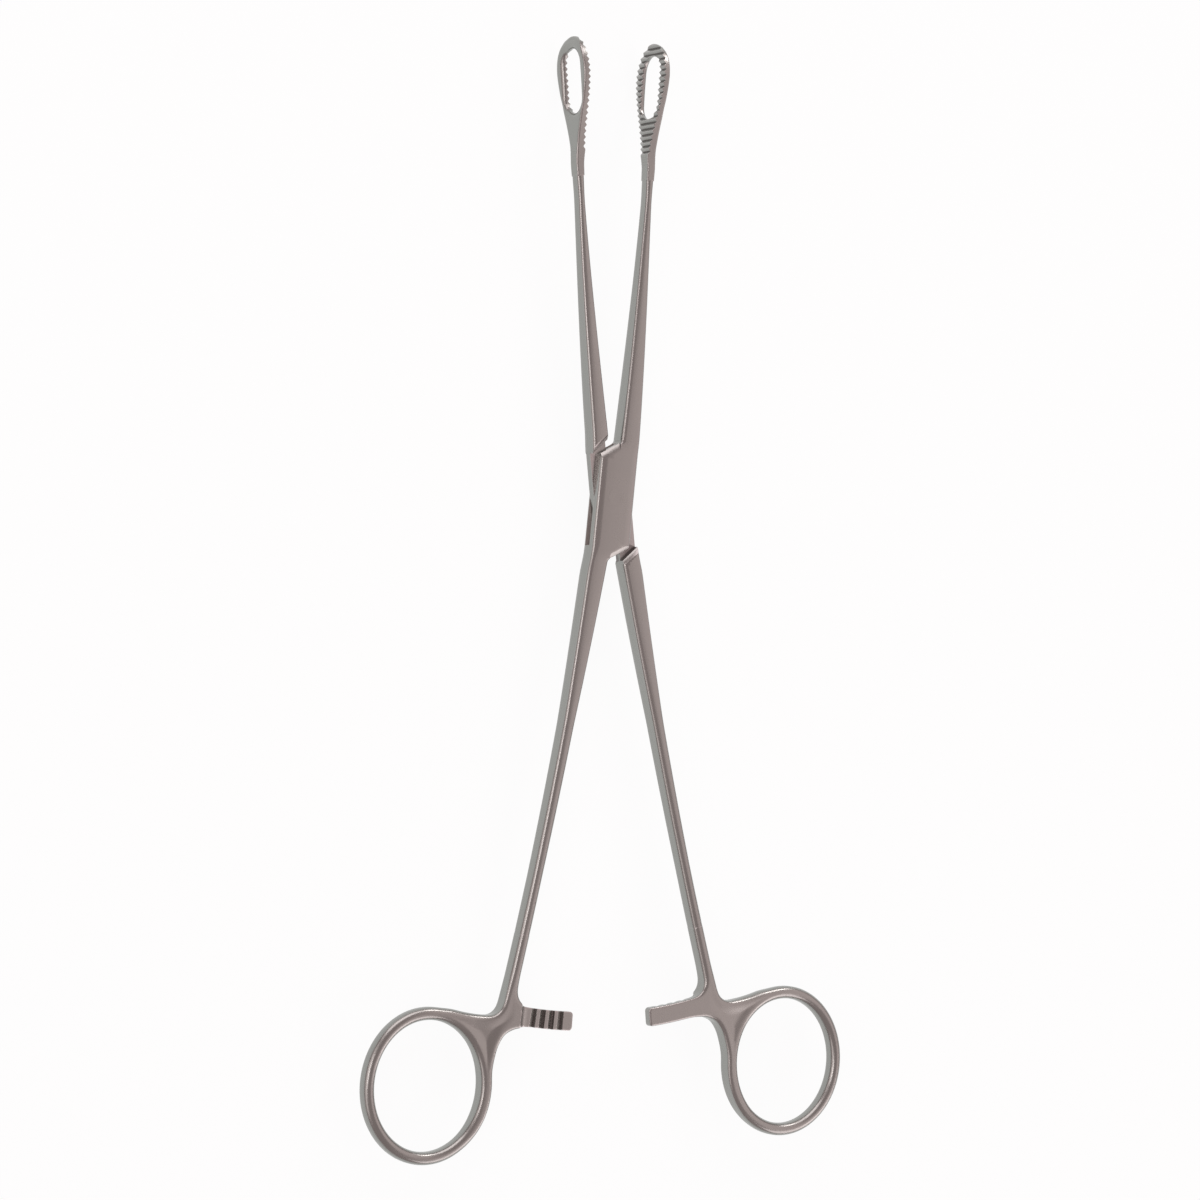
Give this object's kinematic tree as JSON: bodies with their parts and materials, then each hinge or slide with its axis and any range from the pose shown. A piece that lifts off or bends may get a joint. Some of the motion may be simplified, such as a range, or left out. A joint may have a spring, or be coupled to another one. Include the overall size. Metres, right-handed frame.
{
  "type": "sponge holding forceps",
  "caption": "Straight sponge holding forceps in satin steel: serrated ring jaws, box lock joint, slim shanks, ratchet arms and oval finger rings",
  "frame": {"origin": "on the pivot's axis, in the plane of the box's back face", "axes": "+Y towards the jaws along the instrument, +X across it towards the box half's jaw, +Z out of the box's front face"},
  "size_m": [0.124, 0.2417, 0.0112],
  "materials": {
    "box_half_steel": "fine satin, bead blasted, with brighter rounded edges",
    "tongue_half_steel": "fine satin, bead blasted, with brighter rounded edges",
    "pin_steel": "ground flush with the plates and satin finished with them"
  },
  "bodies": {
    "box_body": {"box_half": "box_half_steel", "pivot_pin": "pin_steel"},
    "tongue_body": {"tongue_half": "tongue_half_steel"}
  },
  "joints": [
    {"name": "box_lock", "type": "hinge", "parent": "box_body", "child": "tongue_body", "pos_m": [0, 0, 0], "axis": [0, 0, 1], "range_deg": [-11.6, 15.4]}
  ]
}
